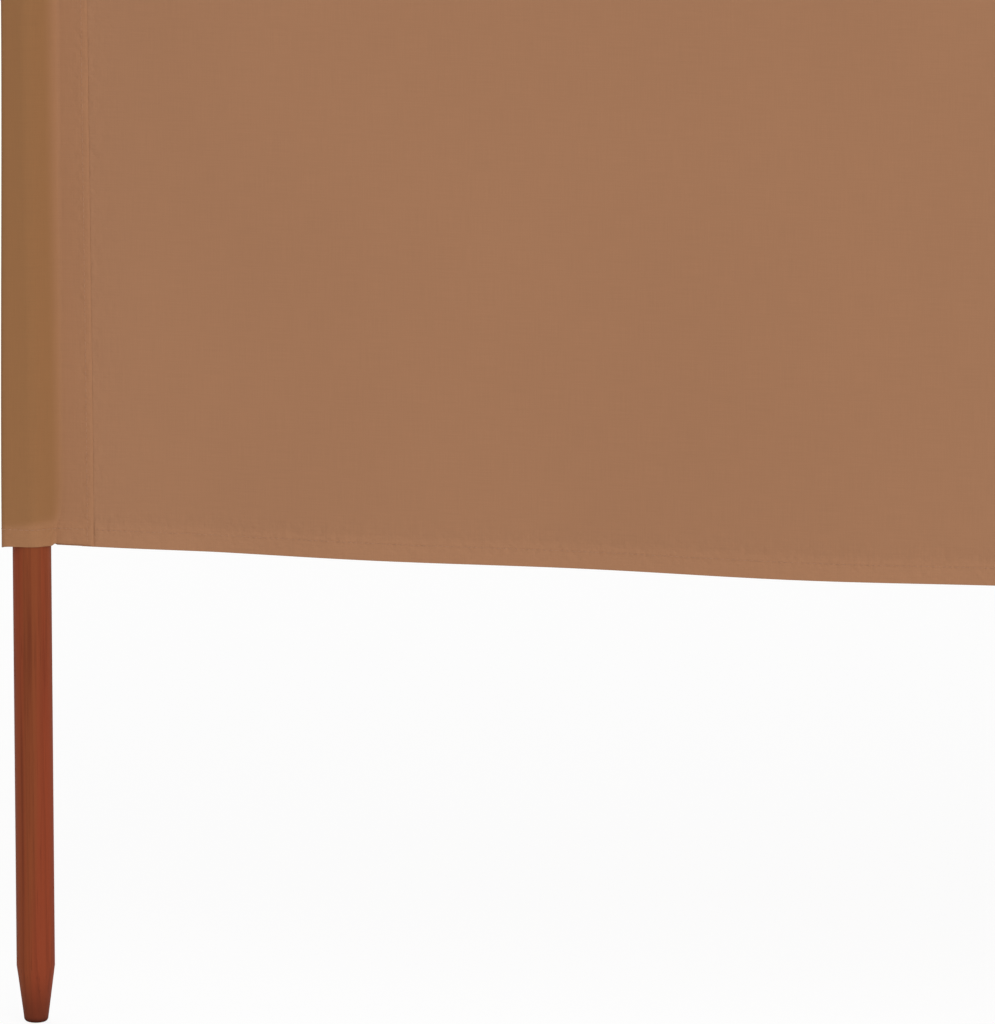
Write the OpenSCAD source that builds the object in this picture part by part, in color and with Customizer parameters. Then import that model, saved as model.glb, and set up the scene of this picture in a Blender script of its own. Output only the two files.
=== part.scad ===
// Beach windbreak: bays of cloth set up in a zigzag, carried on wooden poles in sewn pockets.
// Millimetres, +Z up. The origin is on the blunt tip of the middle pole. X runs along the row,
// and -Y is the front, the side that the breeze bellies the cloth towards.

/* [Run of bays] */
// Number of bays, with a pole at both ends of each
bay_count = 6; // [1:1:6]
// Distance from one pole's axis to the next
bay_pitch = 1200; // [700:10:1500]
// Turn of each bay from the line of the row, to alternate sides
zigzag_angle = 15; // [0:1:30]
// Depth of the cloth's curve between two poles
belly = 20; // [5:1:60]

/* [Poles] */
// Diameter of a pole
pole_d = 28; // [22:1:32]
// Length of a pole, from its tip to its top
pole_l = 1170; // [900:5:1600]
// Length of the sharpened tip
tip_l = 42; // [20:1:80]
// Diameter of the tip's blunt end, before its rim is rounded
tip_d = 17; // [10:0.5:20]
// Rounding of the blunt end's rim
tip_round = 3; // [1:0.5:4]
// Bevel around the top of a pole
top_bevel = 3; // [1:0.5:6]

/* [Cloth] */
// Height of the cloth, from its lower edge to its upper edge
cloth_h = 845; // [500:5:1250]
// Thickness of one layer of cloth
cloth_t = 1; // [0.6:0.1:2]
// Height of the hems along the lower and upper edges
hem_h = 15; // [8:1:25]

/* [Pole pockets] */
// Distance from a pole's axis to the pocket's outer edge, where the bay's cloth starts
seam_reach = 47; // [36:1:70]
// Distance from a pole's axis to where the pocket's two layers come together
pocket_reach = 23; // [20:1:34]
// Clearance between a pole and the cloth around it
pocket_gap = 0.3; // [0.2:0.1:1]
// Height over which a pocket narrows to its sewn top, from the pole's bevel upwards
peak_h = 18; // [18:1:40]
// Slack between an end pole and the fold of its pocket
fold_slack = 8.5; // [2:0.5:15]
// Inner radius of that fold
fold_r = 3; // [1:0.5:6]
// Turn of that fold towards the front
fold_turn = 40; // [0:5:45]

/* [Hidden] */
$fn = 64;
cloth_colour = "#a27557";
pole_colour = "#86402a";

pole_count = bay_count + 1;
middle = floor(bay_count / 2);
pole_r = pole_d / 2;
pocket_r = pole_r + pocket_gap;
// Depth to which a pocket's flat walls run into its round, so that they cross it cleanly
lap = 0.1;

// Heights: a pocket narrows above the pole's bevel, and its upper hem is sewn flat above that
shoulder_z = pole_l - top_bevel;
peak_z = shoulder_z + peak_h;
cloth_top = peak_z + hem_h;
cloth_z = cloth_top - cloth_h;

// The cloth of a bay follows an arc in plan, from pole axis to pole axis
bay_r = bay_pitch * bay_pitch / (8 * belly) + belly / 2;
bay_half = asin(bay_pitch / (2 * bay_r));
seam_half = bay_half - seam_reach / bay_r * 180 / PI;
bay_centre = [bay_pitch / 2, bay_r - belly];

// Plan geometry

function spun(p, a) = [p.x * cos(a) - p.y * sin(a), p.x * sin(a) + p.y * cos(a)];
function polar(r, a) = [r * cos(a), r * sin(a)];
function angle_of(p) = atan2(p.y, p.x);

// Even poles, counted from 0, stand back by a bay's depth, and odd ones stand forward
function stands_back(i) = i % 2 == 0 ? 1 : 0;
function pole_at(i) = bay_pitch * [
    (i - middle) * cos(zigzag_angle),
    (stands_back(i) - stands_back(middle)) * sin(zigzag_angle)
];
function bay_heading(b) = (b % 2 == 0 ? -1 : 1) * zigzag_angle;

// Sides of a pole that have a bay: 1 towards the next pole, -1 towards the one before
function bay_sides(i) = [if (i > 0) -1, if (i < bay_count) 1];
function is_end(i) = i == 0 || i == bay_count;

// A pocket's seam on one side of pole i: [point, front normal, direction away from the pole]
function seam(i, side) = let (
    heading = bay_heading(side > 0 ? i : i - 1),
    a = -side * seam_half,
    from_pole = bay_centre - [side > 0 ? 0 : bay_pitch, 0],
    normal = [sin(a), -cos(a)]
) [
    spun(from_pole + bay_r * normal, heading),
    spun(normal, heading),
    spun(side * [cos(a), sin(a)], heading)
];
function seam_apex(s) = s[0] - (seam_reach - pocket_reach) * s[2];

// Point where a wall from p runs into a round of radius r about the pole, on the front or back
function touch(p, r, turn) = polar(r - lap, angle_of(p) + turn * acos((r - lap) / norm(p)));

// Direction of an end pocket's fold, on from its seam and turned to the front
function fold_angle(i) = let (side = bay_sides(i)[0]) angle_of(-seam(i, side)[0]) + side * fold_turn;
fold_reach = pocket_r + fold_slack - fold_r;

// Poles

// Turned dowel: sharpened to a blunt, rounded tip below, and bevelled at its top
module pole() {
    slope = atan((pole_d - tip_d) / (2 * tip_l));
    rim = tip_d / 2 - tip_round * tan((90 - slope) / 2);
    color(pole_colour)
    rotate_extrude() {
        polygon([
            [0, 0],
            [rim, 0],
            [rim, tip_round] + polar(tip_round, -slope),
            [pole_r, tip_l],
            [pole_r, shoulder_z],
            [pole_r - top_bevel, pole_l],
            [0, pole_l]
        ]);
        translate([rim, tip_round]) circle(tip_round);
    }
}

// Pole pockets

// Both layers from the pole to one seam, where they lie flat together
module wing(i, side, r, half) {
    s = seam(i, side);
    apex = seam_apex(s);
    polygon([
        s[0] + half * s[1],
        apex + half * s[1],
        touch(apex + half * s[1], r, -side),
        touch(apex - half * s[1], r, side),
        apex - half * s[1],
        s[0] - half * s[1]
    ]);
}

// Space between the layers, from the pole to where they are sewn flat
module wing_space(i, side) {
    apex = seam_apex(seam(i, side));
    polygon([
        apex,
        touch(apex, pocket_r, -side),
        touch(apex, pocket_r, side)
    ]);
}

// Slack of an end pocket: walls from the round about the pole to the small one of the fold
module fold_nose(i, r, nose_r) {
    a = fold_angle(i);
    lean = acos((r - nose_r) / fold_reach);
    tip = polar(fold_reach, a);
    translate(tip) circle(nose_r);
    polygon([
        polar(r - lap, a - lean),
        tip + polar(nose_r - lap, a - lean),
        tip + polar(nose_r - lap, a + lean),
        polar(r - lap, a + lean)
    ]);
}

// Outside of a pocket in plan, with one layer of cloth or, at its hem, two
module pocket_outline(i, layers = 1) {
    grow = cloth_t * layers;
    circle(pocket_r + grow);
    for (side = bay_sides(i)) wing(i, side, pocket_r + grow, grow);
    if (is_end(i)) fold_nose(i, pocket_r + grow, fold_r + grow);
}

module pocket_space(i) {
    circle(pocket_r);
    for (side = bay_sides(i)) wing_space(i, side);
    if (is_end(i)) fold_nose(i, pocket_r, fold_r);
}

// Prism along the way to one seam: it narrows from half width low at the pole's bevel
// to high at the peak, and goes on straight from there to the top
module gable(i, side, low, high) {
    wide = pocket_r + 3 * cloth_t;
    wide_z = shoulder_z - (wide - low) * peak_h / (low - high);
    flat = [[high, peak_z], [high, cloth_top], [-high, cloth_top], [-high, peak_z]];
    reach = seam_reach + pole_d;
    rotate(angle_of(seam(i, side)[0]) + 90)
    translate([0, reach, 0])
    rotate([90, 0, 0])
    linear_extrude(2 * reach)
    polygon(concat(
        [[-wide, wide_z], [-wide, cloth_z - 1], [wide, cloth_z - 1], [wide, wide_z]],
        high > 0 ? flat : [[0, peak_z]]
    ));
}

// The gables of a pocket, mitred where the row turns at the pole
module gables(i, low, high) {
    reach = 2 * (seam_reach + pole_d);
    for (side = bay_sides(i))
        if (is_end(i)) gable(i, side, low, high);
        else intersection() {
            translate([side > 0 ? 0 : -reach, -reach, cloth_z - 2])
                cube([reach, 2 * reach, cloth_h + 4]);
            gable(i, side, low, high);
        }
}

// Pocket of two layers around pole i, hemmed below and sewn flat above
module pole_pocket(i) {
    color(cloth_colour)
    difference() {
        union() {
            intersection() {
                translate([0, 0, cloth_z]) linear_extrude(cloth_h) pocket_outline(i);
                gables(i, pocket_r + cloth_t, 2 * cloth_t);
            }
            translate([0, 0, cloth_z]) linear_extrude(hem_h) pocket_outline(i, 2);
        }
        intersection() {
            translate([0, 0, cloth_z - 1]) linear_extrude(cloth_h) pocket_space(i);
            gables(i, pocket_r, 0);
        }
    }
}

// Cloth bays

// Single layer from seam to seam, with hems turned to the back along both edges
module cloth_bay() {
    front = bay_r + cloth_t / 2;
    back = front - cloth_t;
    hem_back = back - cloth_t;
    color(cloth_colour)
    translate([bay_centre.x, bay_centre.y, cloth_z])
    rotate(-90 - seam_half)
    rotate_extrude(angle = 2 * seam_half)
    polygon([
        [front, 0],
        [front, cloth_h],
        [hem_back, cloth_h],
        [hem_back, cloth_h - hem_h],
        [back, cloth_h - hem_h],
        [back, hem_h],
        [hem_back, hem_h],
        [hem_back, 0]
    ]);
}

// Assembly

for (i = [0:bay_count])
    translate(pole_at(i)) pole();
for (i = [0:bay_count])
    translate(pole_at(i)) pole_pocket(i);
for (b = [0:bay_count - 1])
    translate(pole_at(b)) rotate(bay_heading(b)) cloth_bay();
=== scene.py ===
import math

import bpy
import numpy as np
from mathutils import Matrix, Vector


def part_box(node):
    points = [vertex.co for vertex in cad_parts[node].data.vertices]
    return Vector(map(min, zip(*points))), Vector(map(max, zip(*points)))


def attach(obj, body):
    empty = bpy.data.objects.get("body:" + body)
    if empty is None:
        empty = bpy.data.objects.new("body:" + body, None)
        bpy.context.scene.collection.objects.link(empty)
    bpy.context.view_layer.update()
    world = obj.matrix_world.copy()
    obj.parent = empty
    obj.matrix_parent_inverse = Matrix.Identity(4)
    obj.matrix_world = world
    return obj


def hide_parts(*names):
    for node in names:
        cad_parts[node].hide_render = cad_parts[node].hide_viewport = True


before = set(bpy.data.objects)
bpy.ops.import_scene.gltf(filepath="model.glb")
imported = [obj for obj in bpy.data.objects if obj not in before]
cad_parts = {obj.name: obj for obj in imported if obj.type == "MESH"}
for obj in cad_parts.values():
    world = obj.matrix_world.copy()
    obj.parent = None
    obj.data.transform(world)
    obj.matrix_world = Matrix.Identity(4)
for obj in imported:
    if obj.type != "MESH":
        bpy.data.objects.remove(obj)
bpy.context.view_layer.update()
bpy.ops.object.select_all(action="DESELECT")


# Poles
# Each pole is a round softwood dowel, sharpened to a blunt tip and stained red-brown. The grain runs
# along it and takes the stain in uneven streaks. The cut end of the tip soaks up more and is darker.

POLE_COUNT = 7
POLE_LOW, POLE_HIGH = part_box("pole_1")
POLE_R = (POLE_HIGH.x - POLE_LOW.x) / 2
POLE_TOP = POLE_HIGH.z
TIP_LENGTH = 0.042
CUT_END_LOW = 0.0006
CUT_END_HIGH = 0.005

PHOTO_WOOD = (131, 67, 39)
PHOTO_WOOD_RED = (135, 61, 37)
PHOTO_WOOD_DARK = (88, 40, 26)
CUT_WOOD = (58, 26, 18)

pole_axes = []
for number in range(1, POLE_COUNT + 1):
    low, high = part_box(f"pole_{number}")
    pole_axes.append(np.array([(low.x + high.x) / 2, (low.y + high.y) / 2]))


class Value:
    """A socket of a material. Operators on it add Math nodes, and node() adds any other."""

    def __init__(self, tree, socket):
        self.tree = tree
        self.socket = socket

    def node(self, kind, settings=None, inputs=None, output=0):
        """One output of a new node, with its settings and with values or links in its sockets."""
        made = self.tree.nodes.new(kind)
        for key, value in (settings or {}).items():
            setattr(made, key, value)
        for key, value in (inputs or {}).items():
            if isinstance(value, Value):
                self.tree.links.new(value.socket, made.inputs[key])
            else:
                made.inputs[key].default_value = value
        return Value(self.tree, made.outputs[output])

    def math(self, operation, first, second=0.0):
        return self.node("ShaderNodeMath", {"operation": operation}, {0: first, 1: second})

    def __add__(self, other):
        return self.math("ADD", self, other)

    def __sub__(self, other):
        return self.math("SUBTRACT", self, other)

    def __mul__(self, other):
        return self.math("MULTIPLY", self, other)

    def __rsub__(self, other):
        return self.math("SUBTRACT", other, self)

    __radd__ = __add__
    __rmul__ = __mul__

    def rising(self, low, high):
        """0 at low and below, 1 at high and above, and smooth between."""
        return self.node("ShaderNodeMapRange", {"interpolation_type": "SMOOTHSTEP"},
                         {"Value": self, "From Min": low, "From Max": high})

    def between(self, first, second):
        """The first colour where this is 0, and the second where it is 1."""
        return self.node("ShaderNodeMix", {"data_type": "RGBA"}, {0: self, 6: first, 7: second}, 2)

    def brightening(self, colour):
        """A colour with all its parts multiplied by this."""
        return self.node("ShaderNodeMix", {"data_type": "RGBA", "blend_type": "MULTIPLY"},
                         {0: 1.0, 6: colour, 7: self}, 2)

    def into(self, shader, socket):
        self.tree.links.new(self.socket, shader.inputs[socket])


def srgb(red, green, blue):
    """A colour as the photograph's pixels give it, made linear."""
    def linear(level):
        level /= 255
        return level / 12.92 if level <= 0.04045 else ((level + 0.055) / 1.055) ** 2.4
    return (linear(red), linear(green), linear(blue), 1.0)


def new_material(name, **fixed):
    """A material, its shader with the given fixed settings, and a value to start its nodes from."""
    made = bpy.data.materials.new(name)
    made.use_nodes = True
    shader = made.node_tree.nodes["Principled BSDF"]
    for socket, value in fixed.items():
        shader.inputs[socket.replace("_", " ")].default_value = value
    return made, shader, Value(made.node_tree, shader.outputs[0])


def stained_wood():
    """Softwood under a red-brown stain: broad bands, darker streaks, growth rings and fine pores."""
    made, shader, start = new_material("stained_wood", Specular_IOR_Level=0.05)
    place = start.node("ShaderNodeTexCoord", output="Object")

    def along_grain(across, along, detail, rough=0.55, shift=0.0):
        """Noise with so many lumps to the metre across the grain and along it, moved across by a shift."""
        stretched = start.node("ShaderNodeMapping", inputs={
            "Vector": place, "Scale": (across, across, along), "Location": (across * shift, 0.0, 0.0)})
        return start.node("ShaderNodeTexNoise", inputs={
            "Vector": stretched, "Scale": 1.0, "Detail": detail, "Roughness": rough})

    streaks = along_grain(across=150.0, along=4.0, detail=5.0)
    bands = along_grain(across=55.0, along=1.6, detail=2.0, shift=0.008)
    pores = along_grain(across=900.0, along=14.0, detail=2.0, rough=0.7)
    leaning = start.node("ShaderNodeMapping", inputs={
        "Vector": place, "Rotation": (0.0, 0.05, 0.6), "Scale": (1.0, 1.0, 0.03)})
    rings = start.node("ShaderNodeTexWave", {"wave_profile": "SAW"}, {
        "Vector": leaning, "Scale": 55.0, "Distortion": 5.0, "Detail": 2.0, "Detail Scale": 1.4})
    height = start.node("ShaderNodeSeparateXYZ", inputs={0: place}, output=2)
    tip = 1 - height.rising(0.0, TIP_LENGTH)
    cut_end = 1 - height.rising(CUT_END_LOW, CUT_END_HIGH)

    colour = bands.rising(0.38, 0.62).between(srgb(*PHOTO_WOOD), srgb(*PHOTO_WOOD_RED))
    dark_patterns = ((streaks.rising(0.50, 0.74), 0.55), (rings.rising(0.55, 1.0), 0.20),
                     (pores.rising(0.58, 0.76), 0.55), (tip, 0.70))
    for pattern, strength in dark_patterns:
        colour = (pattern * strength).between(colour, srgb(*PHOTO_WOOD_DARK))
    colour = (cut_end * 0.75).between(colour, srgb(*CUT_WOOD))
    colour.into(shader, "Base Color")
    (0.48 + streaks * 0.18 + cut_end * 0.2).into(shader, "Roughness")
    relief = start.node("ShaderNodeBump", inputs={
        "Strength": 0.5, "Distance": 0.0004, "Height": streaks * 0.6 + pores * 0.4})
    relief.into(shader, "Normal")
    return made


wood = stained_wood()
for number in range(1, POLE_COUNT + 1):
    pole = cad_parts[f"pole_{number}"]
    pole.data.materials.clear()
    pole.data.materials.append(wood)


# Pole pockets
# A pocket is a strip of the cloth folded around its pole, or a front and a back strip where bays meet
# on both sides. The strips are turned in at their edges and sewn flat to the bay's cloth beside the
# pole, hemmed below, where the pole goes in, and pressed flat and sewn shut above its top.

BAY_COUNT = POLE_COUNT - 1
BELLY = 0.020

# The cloth: its edges, its thickness, the step from one layer to the next, and that of the plain solids
CLOTH_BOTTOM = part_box("cloth_bay_1")[0].z
CLOTH_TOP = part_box("cloth_bay_1")[1].z
CLOTH_THICK = 0.0003
LAYER = 0.00031
SOLID_LAYER = 0.001
THREAD_PITCH = 0.0009
# The pocket's cloth is a shade darker than the bays': painted shade for its doubled layers letting less
# light through
POCKET_WITH_PAINTED_SHADE = (161, 115, 83)
# The colour of the painted shade over a pole, where less light comes through the cloth
PAINTED_SHADE_OVER_POLE = (145, 102, 65)

# A strip's seam: its distance from the pole's axis, how far it runs in on its way up, and its folded edge
SEAM_REACH = 0.047
SEAM_TAPER = 0.0018
SEAM_TAPER_HEIGHT = 0.45
SEAM_STITCHES = 0.0045
STRIP_TURN_IN = 0.006
STRIP_SEWN = 0.008
STRIP_EDGE = 0.0003
STRIP_BULGE = 0.0001

# The room around the pole: the layers come together nearer to it at the foot than above
POLE_GAP = 0.00055
POCKET_REACH = 0.023
FOOT_REACH = 0.0192
FOOT_LOW = 0.004
FOOT_HIGH = 0.045
FOLD_R = 0.003
FOLD_TURN = math.radians(40)
FOLD_SLACK_LOW = 0.0086
FOLD_SLACK_HIGH = 0.0050
FOLD_SLACK_HEIGHT = 0.42

# The hems, and the pocket's top, which narrows from the pole's bevel to the upper hem
HEM = 0.015
HEM_FOLD = 0.0005
HEM_EDGE = HEM - 0.0005
HEM_FADE = 0.005
TOP_BEVEL = 0.003
SHOULDER = POLE_TOP - TOP_BEVEL
PEAK = CLOTH_TOP - HEM
PEAK_ROUND = 0.35

# Rows of points: inside a hem, around its fold as heights and shares of the fold, outside it and between
HEM_INSIDE_ROWS = (HEM_EDGE, 0.010, 0.005, 0.0015)
HEM_TURN_ROWS = ((0.0005, 0.85), (0.00012, 0.7), (0.0, 0.5), (0.00012, 0.3), (0.0005, 0.15))
HEM_OUTSIDE_ROWS = (0.0015, 0.004, 0.008, 0.0105, 0.0125, 0.0145, 0.0165, 0.0195, 0.024, 0.030)
SHOULDER_ROWS = (-0.009, -0.005, -0.002, 0.0, 0.001, 0.002)
ROW_STEP = 0.0135
ROW_CLEAR = 0.003

bay_length = float(np.linalg.norm(pole_axes[1] - pole_axes[0]))
bay_radius = bay_length**2 / (8 * BELLY) + BELLY / 2
bay_half = math.asin(bay_length / 2 / bay_radius)
seam_half = bay_half - SEAM_REACH / bay_radius
cloth_height = CLOTH_TOP - CLOTH_BOTTOM


def bay_sides(pole):
    """Sides of a pole, counted from 0, that have a bay: 1 for the one after it, -1 for the one before."""
    return [side for side, has_bay in ((-1, pole > 0), (1, pole < BAY_COUNT)) if has_bay]


def bay_directions(bay):
    """Unit vectors along a bay, counted from 0, and towards its front."""
    along = (pole_axes[bay + 1] - pole_axes[bay]) / bay_length
    return along, np.array([along[1], -along[0]])


def seam_of(pole, side):
    """A pocket's seam from its pole's axis: the point, the front normal and the way out of the pocket."""
    along, front = bay_directions(pole if side > 0 else pole - 1)
    out = bay_length / 2 - bay_radius * math.sin(seam_half)
    depth = bay_radius * (math.cos(seam_half) - math.cos(bay_half))
    sine, cosine = math.sin(seam_half), math.cos(seam_half)
    return (side * along * out + front * depth,
            front * cosine - side * along * sine,
            side * along * cosine + front * sine)


def ways_out(pole):
    """Unit vectors from a pole's axis to the seams of its pocket."""
    points = [seam_of(pole, side)[0] for side in bay_sides(pole)]
    return [point / np.linalg.norm(point) for point in points]


def polar(radius, angle):
    return radius * np.array([math.cos(angle), math.sin(angle)])


def arc(centre, radius, start, end, count):
    return [centre + polar(radius, a) for a in np.linspace(start, end, count)]


def line(start, end, count):
    """Points after start, up to and with end."""
    return [start + (end - start) * t for t in np.linspace(0, 1, count + 1)[1:]]


def along_path(points):
    """Distance along a path to each of its points."""
    return np.concatenate([[0], np.cumsum(np.linalg.norm(np.diff(points, axis=0), axis=1))])


def wrapped(angle, near):
    """The same direction as an angle, within half a turn of another one."""
    return near + (angle - near + math.pi) % (2 * math.pi) - math.pi


def smooth_step(value, low, high):
    t = np.clip((value - low) / (high - low), 0, 1)
    return t * t * (3 - 2 * t)


def wall_from(pole, side, face, radius, half, meet, narrow):
    """One layer of a pocket from its seam to the pole, and the angle where it meets the round.

    face is 1 for the front layer and -1 for the back one, and half is how far each lies from the middle
    line between them. meet is where they come together, and narrow is how far the seam has run in."""
    point, normal, out = seam_of(pole, side)
    edge = point + face * half * normal - narrow * out
    apex = edge - (SEAM_REACH - narrow - meet) * out
    lean = math.acos(radius / np.linalg.norm(apex))
    angle = math.atan2(apex[1], apex[0]) - side * face * lean
    tuck = face * LAYER * normal
    fold = edge - STRIP_EDGE * out
    sewn = edge - STRIP_SEWN * out
    turned_in = [edge - tuck - back * out for back in (STRIP_TURN_IN, STRIP_TURN_IN / 2, STRIP_EDGE)]
    turned_in += [edge - 0.5 * tuck + STRIP_BULGE * out, fold]
    flat = line(fold, sewn, count=4) + line(sewn, apex, count=6)
    return turned_in + flat + line(apex, polar(radius, angle), count=12), angle


def pocket_strips(pole, radius, half, slack, meet, narrow):
    """Plan of a pocket's strips, in metres from the pole's axis, with outsides on the right of the path."""
    def wall(side, face):
        return wall_from(pole, side, face, radius, half, meet, narrow)

    if len(bay_sides(pole)) == 2:
        strips = []
        for face, first in ((1, -1), (-1, 1)):
            start, low = wall(first, face)
            end, high = wall(-first, face)
            middle = -face * math.pi / 2
            around = arc(0, radius, wrapped(low, middle), wrapped(high, middle), count=12)
            strips.append(start[:-1] + around + end[-2::-1])
        return strips
    side = bay_sides(pole)[0]
    start, low = wall(side, -side)
    end, high = wall(side, side)
    point = seam_of(pole, side)[0]
    away = math.atan2(-point[1], -point[0]) + side * FOLD_TURN
    nose_r = FOLD_R + SOLID_LAYER / 2
    reach = POLE_R + slack - FOLD_R
    lean = math.acos((radius - nose_r) / reach)
    first = arc(0, radius, wrapped(low, away - lean), away - lean, count=9)
    second = arc(0, radius, away + lean, wrapped(high, away + lean), count=9)
    fold = arc(polar(reach, away), nose_r, away - lean, away + lean, count=11)
    return [start[:-1] + first + line(first[-1], fold[0], count=4)[:-1] + fold
            + line(fold[-1], second[0], count=4)[:-1] + second + end[-2::-1]]


def middle_line(pole, points):
    """The points of a pocket's middle line that its cloth is pressed flat towards."""
    ways = ways_out(pole)
    if len(ways) == 1:
        return np.outer(points @ ways[0], ways[0])
    reach = np.stack([np.maximum(points @ way, 0) for way in ways], 1)
    best = np.argmax(reach, 1)
    return np.take_along_axis(reach, best[:, None], 1) * np.array(ways)[best]


def hem_part(height):
    """1 in the hems along both edges, and 0 between them."""
    edge = np.minimum(height, cloth_height - height)
    return 1 - smooth_step(edge, HEM_EDGE, HEM + HEM_FADE)


def seam_taper(height):
    """How far a pocket's seams run in towards its pole at a height above the cloth's lower edge."""
    return SEAM_TAPER * smooth_step(height, 0.0, SEAM_TAPER_HEIGHT)


def pocket_at(pole, height, inset=0.0):
    """A pocket's strips at one height above the cloth's lower edge, in metres from the pole's axis."""
    hem = float(hem_part(height))
    half = 2 * LAYER + hem * 2 * LAYER - inset * HEM_FOLD
    radius = POLE_R + POLE_GAP + hem * HEM_FOLD - inset * HEM_FOLD
    more_slack = (FOLD_SLACK_LOW - FOLD_SLACK_HIGH) * (1 - smooth_step(height, 0.0, FOLD_SLACK_HEIGHT))
    slack = FOLD_SLACK_HIGH + more_slack
    foot = 1 - float(smooth_step(height, FOOT_LOW, FOOT_HIGH))
    meet = POCKET_REACH - (POCKET_REACH - FOOT_REACH) * foot
    climb = np.clip((height + CLOTH_BOTTOM - SHOULDER) / (PEAK - SHOULDER), 0, 1)
    closed = PEAK_ROUND * smooth_step(climb, 0, 1) + (1 - PEAK_ROUND) * climb
    press = 1 - (1 - 2 * half / radius) * closed
    strips = []
    for strip in pocket_strips(pole, radius, half, slack, meet, seam_taper(height)):
        strip = np.array(strip)
        middle = middle_line(pole, strip)
        lift = strip - middle
        far = np.linalg.norm(lift, axis=1, keepdims=True)
        flat = np.minimum(far, np.maximum(far * press, half))
        strips.append(middle + lift * flat / np.maximum(far, 1e-9))
    return strips


def hem_rows(more=()):
    """Heights and insets up a piece of cloth: up inside its lower hem, round the fold, up, and over again.

    An inset is a share of a hem's fold, and more holds further heights that need a row."""
    lower = [(z, 1.0) for z in HEM_INSIDE_ROWS] + list(HEM_TURN_ROWS)
    clear = HEM_OUTSIDE_ROWS[-1]
    count = round((cloth_height - 2 * clear) / ROW_STEP)
    between = np.linspace(clear, cloth_height - clear, count + 1)[1:-1]
    between = [z for z in between if all(abs(z - other) > ROW_CLEAR for other in more)]
    upper = [cloth_height - z for z in reversed(HEM_OUTSIDE_ROWS)]
    outside = [(z, 0.0) for z in [*HEM_OUTSIDE_ROWS, *sorted([*between, *more]), *upper]]
    return lower + outside + [(cloth_height - z, inset) for z, inset in reversed(lower)]


def up_the_cloth(rows):
    """Length of cloth from the edge inside the lower hem to each row."""
    heights, insets = np.array(rows).T
    steps = np.abs(np.diff(heights)) + np.abs(np.diff(insets)) * HEM_FOLD
    return np.concatenate([[0], np.cumsum(steps)])


def sheet_mesh(name, grids):
    """One piece of cloth from grids of points, with its flat coordinates and masks, made thick."""
    points, faces, flat, masks = [], [], [], {}
    for grid, flat_grid, mask_grids in grids:
        rows, columns = grid.shape[:2]
        index = np.arange(rows * columns).reshape(rows, columns) + sum(map(len, points))
        corners = (index[:-1, :-1], index[:-1, 1:], index[1:, 1:], index[1:, :-1])
        faces.append(np.stack(corners, 2).reshape(-1, 4))
        points.append(grid.reshape(-1, 3))
        flat.append(flat_grid.reshape(-1, 2))
        for key, mask in mask_grids.items():
            masks.setdefault(key, []).append(mask.reshape(-1))
    mesh = bpy.data.meshes.new(name)
    mesh.from_pydata(np.concatenate(points).tolist(), [], np.concatenate(faces).tolist())
    loop_points = np.empty(len(mesh.loops), dtype=np.int32)
    mesh.loops.foreach_get("vertex_index", loop_points)
    uv = mesh.uv_layers.new(name="flat_cloth")
    uv.data.foreach_set("uv", np.concatenate(flat)[loop_points].astype(np.float32).ravel())
    for key, values in masks.items():
        layer = mesh.attributes.new(key, "FLOAT", "POINT")
        layer.data.foreach_set("value", np.concatenate(values).astype(np.float32))
    piece = bpy.data.objects.new(name, mesh)
    bpy.context.scene.collection.objects.link(piece)
    thick = piece.modifiers.new("thickness", "SOLIDIFY")
    thick.thickness = CLOTH_THICK
    thick.offset = 0
    bpy.ops.object.select_all(action="DESELECT")
    piece.select_set(True)
    bpy.context.view_layer.objects.active = piece
    bpy.ops.object.modifier_apply(modifier=thick.name)
    bpy.ops.object.shade_smooth_by_angle(angle=math.radians(45))
    return piece


def woven_cloth(name, colour, pole_shade_colour=None):
    """Plain-woven polyester: fine crossing threads, uneven in tone, lighter in hems, with painted light at
    seams and painted shade over a pole.
    """
    made, shader, start = new_material(name, Specular_IOR_Level=0.15)
    flat = start.node("ShaderNodeUVMap", {"uv_map": "flat_cloth"})
    flat_across = start.node("ShaderNodeSeparateXYZ", inputs={0: flat}, output=0)
    flat_up = start.node("ShaderNodeSeparateXYZ", inputs={0: flat}, output=1)

    def speckle(across, up, detail):
        """Noise with so many lumps to the metre across the cloth and up it."""
        scaled = start.node("ShaderNodeMapping", inputs={"Vector": flat, "Scale": (across, up, 1.0)})
        return start.node("ShaderNodeTexNoise", {"noise_dimensions": "2D"},
                          {"Vector": scaled, "Scale": 1.0, "Detail": detail})

    def mask(key):
        return start.node("ShaderNodeAttribute", {"attribute_name": key}, output="Fac")

    warp = start.math("SINE", flat_across * (math.tau / THREAD_PITCH))
    weft = start.math("SINE", flat_up * (math.tau / THREAD_PITCH))
    slubs = speckle(across=40.0, up=1500.0, detail=2.0) + speckle(across=1500.0, up=40.0, detail=2.0) - 1.0
    clouds = speckle(across=7.0, up=5.0, detail=3.0) - 0.5
    pucker = (speckle(across=150.0, up=150.0, detail=2.0) - 0.5) * mask("pucker")

    dye_and_painted_shade = srgb(*colour)
    # Painted shade over a pole: darker where the pole keeps light from coming through the pocket's cloth.
    if pole_shade_colour:
        dye_and_painted_shade = mask("painted_pole_shade").between(dye_and_painted_shade, srgb(*pole_shade_colour))
    # Seams get painted light, against the shade of their crevices, and hems a lighter tone.
    (1.0 + mask("painted_seams_and_hem_tone") + slubs * 0.09 + clouds * 0.052).brightening(dye_and_painted_shade).into(shader, "Base Color")
    (0.86 + slubs * 0.1).into(shader, "Roughness")
    relief = start.node("ShaderNodeBump", inputs={
        "Strength": 0.35, "Distance": 0.0002, "Height": warp * weft * 0.5 + slubs * 0.25 + pucker * 16.0})
    relief.into(shader, "Normal")
    return made


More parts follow.
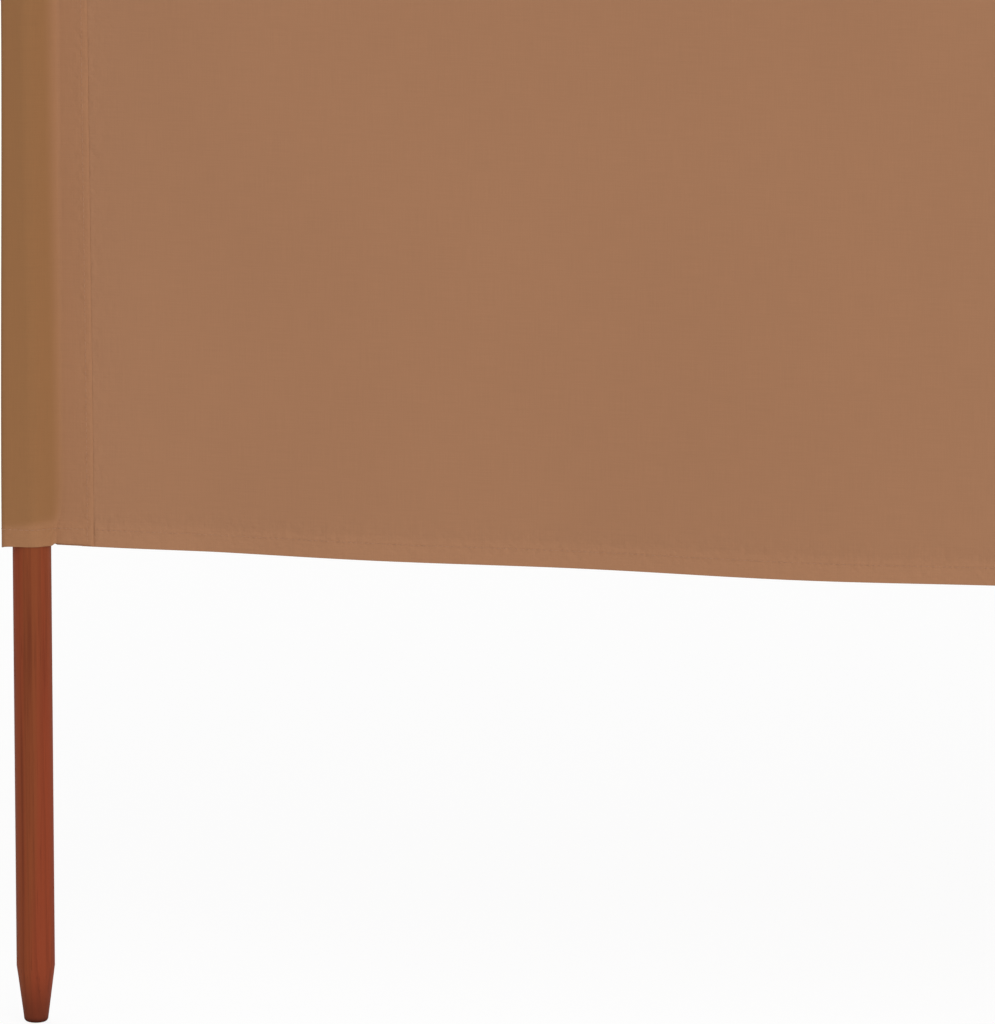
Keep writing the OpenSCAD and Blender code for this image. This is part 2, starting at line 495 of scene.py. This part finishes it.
# How a pocket's foot hangs: raised a little between pole and seam on the front, lower at an end fold.
# Places are distances from the pole's axis, and a fade is the height over which a change dies out.
FOOT_LIFT = 0.0013
FOOT_LIFT_START = (0.0180, 0.0215)
FOOT_LIFT_END = (0.040, 0.046)
FOOT_LIFT_FADE = 0.012
FOLD_DROP = 0.0013
FOLD_DROP_START = (0.011, 0.017)
FOLD_DROP_FADE = 0.03

# How a pocket is toned: painted shade over the pole, up to its top, for the light the pole keeps from coming
# through the cloth and for the cloth's turn from the light. It is lighter in its hems and has a painted
# highlight at its seams. The painted shade narrows on its way up, and the lower hem hides some of it along a
# slanting line.
SHADE_EDGE = (0.0165, 0.0275)
SHADE_NARROWS = 0.003
SHADE_NARROWS_HEIGHT = 0.40
SHADE_TOP = 0.004
HEM_HIDES = 0.56
HEM_SLANT = 0.004
HEM_SLANT_PLACES = (-0.014, 0.020)
HEM_SLANT_MIDDLE = 0.6
HEM_SLANT_BELOW = 0.1
POCKET_HEM_LIGHT = 0.035
PAINTED_SEAM_HIGHLIGHT = 0.024
SEAM_LIGHT_EDGE = (0.004, 0.0052)
SEAM_PUCKER = 0.008


def foot_lift(out, on_front, heights):
    """Change in the height of a pocket's points, for each row and each distance out from the pole."""
    lift = FOOT_LIFT * smooth_step(out, *FOOT_LIFT_START) * (1 - smooth_step(out, *FOOT_LIFT_END))
    drop = FOLD_DROP * smooth_step(-out, *FOLD_DROP_START)
    return (np.outer(np.exp(-heights / FOOT_LIFT_FADE), on_front * lift)
            - np.outer(np.exp(-heights / FOLD_DROP_FADE), drop))


def pocket_masks(out, heights):
    """Tone and pucker of a pocket, for each row and each distance out from the pole."""
    heights = heights[:, None]
    close = out + SHADE_NARROWS * smooth_step(heights, 0.0, SHADE_NARROWS_HEIGHT)
    # The painted shade over the pole, fading out beside it.
    shade = 1 - smooth_step(close, *SHADE_EDGE)
    below_top = 1 - smooth_step(heights + CLOTH_BOTTOM, POLE_TOP - SHADE_TOP, POLE_TOP + SHADE_TOP)
    slant = HEM_SLANT * (smooth_step(out, *HEM_SLANT_PLACES) - HEM_SLANT_MIDDLE)
    hidden = HEM_HIDES * hem_part(heights - slant * (heights < HEM_SLANT_BELOW))
    from_edge = np.max(out) - out
    # A painted highlight on the sewn ridge between the seam's stitches and the strip's folded edge.
    painted_seam_light = PAINTED_SEAM_HIGHLIGHT * (1 - smooth_step(from_edge, *SEAM_LIGHT_EDGE))
    seam_pucker = np.exp(-((from_edge - SEAM_STITCHES) / SEAM_PUCKER) ** 2)
    return {
        "pucker": np.maximum(hem_part(heights), seam_pucker),
        "painted_pole_shade": (1 - hidden) * below_top * shade,
        "painted_seams_and_hem_tone": np.maximum(POCKET_HEM_LIGHT * hem_part(heights), painted_seam_light),
    }


pocket_cloth = woven_cloth("pocket_cloth", POCKET_WITH_PAINTED_SHADE, PAINTED_SHADE_OVER_POLE)
pockets = []
for pole in range(POLE_COUNT):
    rows = hem_rows([SHOULDER - CLOTH_BOTTOM + step for step in SHOULDER_ROWS])
    heights = np.array([height for height, inset in rows])
    up = up_the_cloth(rows)
    rings = [pocket_at(pole, height, inset) for height, inset in rows]
    grids, cut = [], []
    for strip in range(len(bay_sides(pole))):
        plan = np.array([ring[strip] for ring in rings])
        middle_row = plan[len(rows) // 2]
        across = along_path(middle_row)
        out = np.max([middle_row @ way for way in ways_out(pole)], axis=0)
        on_front = (middle_line(pole, middle_row) - middle_row)[:, 1] > 0
        level = CLOTH_BOTTOM + heights[:, None] + foot_lift(out, on_front, heights)
        grid = np.concatenate([plan + pole_axes[pole], level[:, :, None]], 2)
        grids.append((grid, np.stack(np.meshgrid(across, up), 2), pocket_masks(out, heights)))
        cut.append((float(across[-1]), float(up[-1])))
    piece = sheet_mesh(f"pocket_sheet_{pole + 1}", grids)
    piece.data.materials.append(pocket_cloth)
    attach(piece, "root")
    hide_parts(f"pole_pocket_{pole + 1}")
    pockets.append((piece, (round(sum(wide for wide, tall in cut), 3), round(cut[0][1], 3))))


# Cloth bays
# A bay is one piece of the woven cloth, with its lower and upper edges turned to the back and hemmed.
# Its sides are sewn between the layers of two pockets. The breeze bellies it towards the front, and it
# hangs in shallow waves along its hems and pulls into faint creases from its corners.

PHOTO_CLOTH = (162, 117, 86)
TUCKED = 0.009
FREE_FROM_SEAM = (0.004, 0.11)
COLUMN_STEP = 0.0125
SEAM_COLUMNS = (-TUCKED, -0.005, -0.001, 0.002, 0.005, 0.009, 0.014, 0.020, 0.028, 0.038)

# Waves along the hems, as depth, length and the height over which each dies out, and one on the slant.
# The lower hem of the first bay has its waves where the photograph shows them, and other bays wave more.
LOWER_WAVES = ((0.0020, 0.62, 0.24), (0.0034, 0.31, 0.13))
UPPER_WAVES = ((0.0028, 0.52, 0.20), (0.0010, 0.24, 0.10))
SLANT_DEPTH = 0.0022
SLANT_ACROSS = 0.9
SLANT_UP = 1.3
PHOTO_WAVE_STARTS = (1.42, 2.64)
OTHER_BAYS = 1.5

# Each bay draws its own starts and shares: for the hems' waves, the slant, four creases and the ripples
FIRST_SEED = 40
SHARES = (0.7, 1.2)
DRAW_COUNT = 12
SLANT_DRAW = 4
FIRST_CREASE_DRAW = 5
RIPPLE_DRAW = 9
BEND_DRAW = 10

# Creases that fan out from the corners, as depth and length, ripples along the seams, and the top's sag
FIRST_LOWER_CREASES = (0.0006, 0.08)
LOWER_CREASES = (0.0011, 0.08)
UPPER_CREASES = (0.0030, 0.16)
CREASE_FAN = 9
CREASE_PEAK = 0.75
RIPPLE_DEPTH = 0.00035
RIPPLE_LENGTH = 0.05
RIPPLE_BEND = 1.5
RIPPLE_BEND_LENGTH = 0.37
RIPPLE_FADE = 0.09
TOP_SAG = 0.0045
SAG_FROM = 0.45

# Tone and pucker: lighter in the hems, painted light over the shade beside the seams, gathered along the
# stitches
BAY_HEM_LIGHT = 0.05
PAINTED_LIGHT_BESIDE_SEAM = 0.016
BESIDE_SEAM_FADE = 0.006
BAY_PUCKER = 0.012

arc_length = 2 * bay_half * bay_radius


def hanging(bay, across, height):
    """Depth of a bay's waves, creases and ripples in front of its plain arc."""
    draw = np.random.default_rng(FIRST_SEED + bay)
    start = draw.uniform(0, math.tau, DRAW_COUNT)
    share = draw.uniform(*SHARES, DRAW_COUNT)
    if bay == 0:
        start[:2] = PHOTO_WAVE_STARTS
        share[:2] = 1.0
    else:
        share *= OTHER_BAYS
    from_top = cloth_height - height
    from_seam = np.minimum(across, arc_length - across) - SEAM_REACH

    depth = np.zeros_like(across)
    waves = [(height, *wave) for wave in LOWER_WAVES] + [(from_top, *wave) for wave in UPPER_WAVES]
    for k, (rise, deep, length, fade) in enumerate(waves):
        depth += deep * share[k] * np.sin(math.tau * across / length + start[k]) * np.exp(-rise / fade)
    slant = math.tau * (across / SLANT_ACROSS + height / SLANT_UP)
    depth += SLANT_DEPTH * share[SLANT_DRAW] * np.sin(slant + start[SLANT_DRAW])

    lower = FIRST_LOWER_CREASES if bay == 0 else LOWER_CREASES
    ends = across - SEAM_REACH, arc_length - SEAM_REACH - across
    corners = [(end, height, *lower) for end in ends] + [(end, from_top, *UPPER_CREASES) for end in ends]
    for k, (end, rise, deep, length) in enumerate(corners, FIRST_CREASE_DRAW):
        reach = np.hypot(end, rise) + 1e-6
        fan = np.arctan2(rise, np.maximum(end, 1e-6))
        spread = reach / (CREASE_PEAK * length) * np.exp(-reach / length)
        depth += deep * share[k] * np.sin(CREASE_FAN * fan + start[k]) * spread

    bend = RIPPLE_BEND * np.sin(math.tau * height / RIPPLE_BEND_LENGTH + start[BEND_DRAW])
    ripple = np.sin(math.tau * from_seam / RIPPLE_LENGTH + start[RIPPLE_DRAW] + bend)
    depth += RIPPLE_DEPTH * ripple * np.exp(-np.maximum(from_seam, 0) / RIPPLE_FADE)
    return depth * smooth_step(from_seam, *FREE_FROM_SEAM)


def bay_surface(bay, across, height, inset):
    """Points of a bay's cloth, from its plan arc and height, and the front normals in plan.

    across runs from the first pole to the second along the arc, and inset is how far a hem lies behind."""
    along, front = bay_directions(bay)
    turn = across / bay_radius - bay_half
    radius = bay_radius + hanging(bay, across, height) - inset
    centre = pole_axes[bay] + along * (bay_length / 2) + front * (BELLY - bay_radius)
    normal = np.sin(turn)[..., None] * along + np.cos(turn)[..., None] * front
    sag = TOP_SAG * np.sin(math.pi * np.clip(across / arc_length, 0, 1)) ** 2
    sag = sag * smooth_step(height, SAG_FROM * cloth_height, cloth_height)
    level = CLOTH_BOTTOM + height - sag
    return np.concatenate([centre + radius[..., None] * normal, level[..., None]], -1), normal


bay_cloth = woven_cloth("bay_cloth", PHOTO_CLOTH)
bays = []
for bay in range(BAY_COUNT):
    near = [SEAM_REACH + step for step in SEAM_COLUMNS]
    count = round((arc_length - 2 * near[-1]) / COLUMN_STEP)
    inner = np.linspace(near[-1], arc_length - near[-1], count + 1)[1:-1]
    columns = np.concatenate([near, inner, [arc_length - place for place in reversed(near)]])
    rows = hem_rows()
    up = up_the_cloth(rows)
    heights, insets = np.array(rows).T
    across, height = np.meshgrid(columns, heights)
    inset = np.broadcast_to(insets[:, None] * HEM_FOLD, across.shape)
    grid = bay_surface(bay, across, height, inset)[0]
    from_edge = np.minimum(height, cloth_height - height)
    from_seam = np.maximum(np.minimum(across, arc_length - across) - SEAM_REACH, 0)
    hem_pucker = np.exp(-((from_edge - HEM) / BAY_PUCKER) ** 2)
    # Painted light beside the seams, lifting the shade in the crevice along the pockets' edges.
    painted_seam_light = PAINTED_LIGHT_BESIDE_SEAM * np.exp(-from_seam / BESIDE_SEAM_FADE)
    masks = {
        "painted_seams_and_hem_tone": np.maximum(BAY_HEM_LIGHT * hem_part(height), painted_seam_light),
        "pucker": np.maximum(hem_pucker, np.exp(-from_seam / BAY_PUCKER)),
    }
    piece = sheet_mesh(f"bay_sheet_{bay + 1}", [(grid, np.stack(np.meshgrid(columns, up), 2), masks)])
    piece.data.materials.append(bay_cloth)
    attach(piece, "root")
    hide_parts(f"cloth_bay_{bay + 1}")
    bays.append((piece, (round(float(columns[-1] - columns[0]), 3), round(float(up[-1]), 3))))


# Sewing
# Polyester thread in a plain lockstitch, close to the cloth in colour. One line runs down each side of a
# pocket, one along each hem, and two shut a pocket above its pole. Every stitch dips into the cloth.

# One stitch: its pitch and half its length, where its ends start to dip and how deep, and its thread.
# It takes its direction from the line a little before it and a little after.
STITCH_PITCH = 0.0042
STITCH_HALF = 0.44 * STITCH_PITCH
STITCH_DIPS_FROM = 0.4 * STITCH_PITCH
THREAD_R = 0.00028
STITCH_DIP = 0.8 * THREAD_R
STITCH_AIM = 0.001
THREAD_DARK = (158, 114, 85)
THREAD_LIGHT = (176, 131, 100)

# Lines of stitches: where they end, how far they lie from the cloth's edges, and the points they follow
SEAM_END = 0.003
TOP_LINE = 0.003
HEM_LINE = HEM - 0.0025
HEM_LINE_END = 0.001
STRIP_END_POINTS = 7
SEAM_POINTS = 220
HEM_POINTS = 300


def sewing_thread():
    """Twisted polyester, lighter and darker along its turns."""
    made, shader, start = new_material("sewing_thread", Specular_IOR_Level=0.3)
    place = start.node("ShaderNodeTexCoord", output="Object")
    twist = start.node("ShaderNodeTexNoise", inputs={"Vector": place, "Scale": 900.0, "Detail": 2.0})
    twist.between(srgb(*THREAD_DARK), srgb(*THREAD_LIGHT)).into(shader, "Base Color")
    (0.55 + twist * 0.2).into(shader, "Roughness")
    return made


def one_stitch():
    """The points and faces of a stitch along X, with its ends pulled down into the cloth."""
    bpy.ops.object.select_all(action="DESELECT")
    bpy.ops.mesh.primitive_uv_sphere_add(segments=4, ring_count=4, radius=1.0, rotation=(0, math.pi / 2, 0))
    made = bpy.context.object
    made.scale = (THREAD_R, THREAD_R, STITCH_HALF)
    bpy.ops.object.transform_apply(location=True, rotation=True, scale=True)
    bpy.ops.object.mode_set(mode="EDIT")
    bpy.ops.mesh.select_all(action="DESELECT")
    bpy.ops.object.mode_set(mode="OBJECT")
    for vertex in made.data.vertices:
        vertex.select = abs(vertex.co.x) > STITCH_DIPS_FROM
    bpy.ops.object.mode_set(mode="EDIT")
    bpy.ops.transform.translate(value=(0, 0, -STITCH_DIP))
    bpy.ops.object.mode_set(mode="OBJECT")
    points = np.array([vertex.co for vertex in made.data.vertices])
    faces = [list(face.vertices) for face in made.data.polygons]
    bpy.data.objects.remove(made)
    return points, faces


thread = sewing_thread()
stitch_points, stitch_faces = one_stitch()


def stitch_places(path, normals):
    """Where the stitches of one line lie, and their turns, along a path with the cloth's normals there."""
    reach = along_path(path)
    count = int(reach[-1] / STITCH_PITCH)
    stops = (np.arange(count) + 0.5) * reach[-1] / count

    def at(stop, values):
        return np.stack([np.interp(stop, reach, values[:, k]) for k in range(3)], 1)

    along = at(stops + STITCH_AIM, path) - at(stops - STITCH_AIM, path)
    along /= np.linalg.norm(along, axis=1, keepdims=True)
    out = at(stops, normals)
    out -= along * np.sum(out * along, axis=1, keepdims=True)
    out /= np.linalg.norm(out, axis=1, keepdims=True)
    return at(stops, path), np.stack([along, np.cross(out, along), out], 1)


def stitched(name, lines):
    """All stitches of one piece of cloth, along lines of points with the normals of the cloth there."""
    places, turns = zip(*(stitch_places(path, normals) for path, normals in lines))
    points = np.einsum("pk,nkj->npj", stitch_points, np.concatenate(turns))
    points = points + np.concatenate(places)[:, None, :]
    size = len(stitch_points)
    faces = [[first + corner for corner in face]
             for first in range(0, len(points) * size, size) for face in stitch_faces]
    mesh = bpy.data.meshes.new(name)
    mesh.from_pydata(points.reshape(-1, 3).tolist(), [], faces)
    piece = bpy.data.objects.new(name, mesh)
    bpy.context.scene.collection.objects.link(piece)
    bpy.ops.object.select_all(action="DESELECT")
    piece.select_set(True)
    bpy.context.view_layer.objects.active = piece
    bpy.ops.object.shade_smooth()
    piece.data.materials.append(thread)
    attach(piece, "root")
    return piece


def seam_line(pole, side, face):
    """A line of stitches up one side of a pocket, on its front or its back."""
    point, normal, out = seam_of(pole, side)
    climb = np.linspace(SEAM_END, cloth_height - SEAM_END, SEAM_POINTS)
    half = 2 * LAYER + hem_part(climb) * 2 * LAYER + CLOTH_THICK / 2
    plan = (pole_axes[pole] + point - np.outer(SEAM_STITCHES + seam_taper(climb), out)
            + np.outer(face * half, normal))
    return np.column_stack([plan, CLOTH_BOTTOM + climb]), np.tile([*(face * normal), 0.0], (len(climb), 1))


def around_line(pole, strip, height):
    """A line of stitches along a strip of a pocket at one height, on its outside."""
    plan = pocket_at(pole, height)[strip][STRIP_END_POINTS:-STRIP_END_POINTS]
    step = np.gradient(plan, axis=0)
    out = np.stack([step[:, 1], -step[:, 0]], 1) / np.linalg.norm(step, axis=1, keepdims=True)
    plan = plan + out * (CLOTH_THICK / 2) + pole_axes[pole]
    level = np.full((len(plan), 1), CLOTH_BOTTOM + height)
    return np.hstack([plan, level]), np.hstack([out, np.zeros_like(level)])


def hem_line(bay, height, face, inset):
    """A line of stitches along a bay's hem, on its front or its back."""
    across = np.linspace(SEAM_REACH + HEM_LINE_END, arc_length - SEAM_REACH - HEM_LINE_END, HEM_POINTS)
    path, normal = bay_surface(bay, across, np.full_like(across, height), np.full_like(across, inset))
    normal = np.column_stack([face * normal, np.zeros_like(across)])
    return path + normal * CLOTH_THICK / 2, normal


for pole, (piece, cut) in enumerate(pockets):
    lines = [seam_line(pole, side, face) for side in bay_sides(pole) for face in (1, -1)]
    for strip in range(len(bay_sides(pole))):
        for height in (HEM_LINE, cloth_height - HEM_LINE, cloth_height - TOP_LINE):
            lines.append(around_line(pole, strip, height))
    sewn = stitched(f"pocket_stitches_{pole + 1}", lines)

for bay, (piece, cut) in enumerate(bays):
    lines = [hem_line(bay, height, face, inset) for height in (HEM_LINE, cloth_height - HEM_LINE)
             for face, inset in ((1, 0.0), (-1, HEM_FOLD))]
    sewn = stitched(f"bay_stitches_{bay + 1}", lines)


# Floor and light
# A white studio: an even white surround, a broad soft light from the front and the right, a weaker one
# from behind, and a pale floor that shows white to the camera and keeps a faint shadow of the windbreak.

FLOOR_SIZE = 600
FLOOR_DROP = 0.0005
FLOOR_PAINT = (0.95, 0.95, 0.95, 1.0)
FLOOR_GLOW = 0.90
WHITE = (1.0, 1.0, 1.0, 1.0)
SURROUND_LIGHT = 0.58


def shows_white(start):
    """1 for rays from the camera and for those that reflections and glass send on, and 0 for the rest."""
    return (start.node("ShaderNodeLightPath", output="Is Camera Ray")
            + start.node("ShaderNodeLightPath", output="Is Glossy Ray")
            + start.node("ShaderNodeLightPath", output="Is Transmission Ray"))


bpy.ops.mesh.primitive_plane_add(size=FLOOR_SIZE, location=(0, 0, -FLOOR_DROP))
floor = bpy.context.object
floor.name = "studio_floor"
floor_paint, _, painted = new_material(
    "studio_floor", Base_Color=FLOOR_PAINT, Roughness=1.0, Specular_IOR_Level=0.0)
glow = painted.node("ShaderNodeEmission", inputs={"Color": WHITE, "Strength": 1.0})
shown = painted.node("ShaderNodeMixShader", inputs={
    0: shows_white(painted) * FLOOR_GLOW, 1: painted, 2: glow})
shown.into(floor_paint.node_tree.nodes["Material Output"], "Surface")
floor.data.materials.append(floor_paint)

scene = bpy.context.scene
surround = bpy.data.worlds.new("white_surround")
surround.use_nodes = True
scene.world = surround
sky = surround.node_tree.nodes["Background"]
sky.inputs["Color"].default_value = WHITE
seen = shows_white(Value(surround.node_tree, sky.outputs[0]))
(SURROUND_LIGHT + seen * (1 - SURROUND_LIGHT)).into(sky, "Strength")


def soft_sun(name, strength, spread, direction):
    """A sun whose disc is spread over so many degrees that its shadows are soft."""
    sun = bpy.data.objects.new(name, bpy.data.lights.new(name, "SUN"))
    sun.data.energy = strength
    sun.data.angle = math.radians(spread)
    sun.rotation_euler = Vector(direction).to_track_quat("-Z", "Y").to_euler()
    scene.collection.objects.link(sun)


soft_sun("soft_key", strength=1.40, spread=60, direction=(-0.38, 0.80, -0.47))
soft_sun("soft_fill", strength=0.70, spread=90, direction=(0.25, -0.85, -0.45))


# Camera
# It looks at the first pole and the start of its bay from the front, a little above, as the photograph
# does. The lens and the place were found from the pole's edges, its tip and the line of the lower hem.

LENS = 327.16
FROM_FIRST_TIP = (-0.05175, -6.62616, 1.60767)
DEGREES_DOWN = 10.525
DEGREES_RIGHT = 3.3626
SEES_TO = 1000

camera = bpy.data.objects.new("photo_camera", bpy.data.cameras.new("photo_camera"))
camera.data.lens = LENS
camera.data.clip_end = SEES_TO
camera.location = Vector((*pole_axes[0], 0)) + Vector(FROM_FIRST_TIP)
camera.rotation_euler = (math.radians(90 - DEGREES_DOWN), 0, -math.radians(DEGREES_RIGHT))
scene.collection.objects.link(camera)
scene.camera = camera
scene.view_settings.view_transform = "Standard"
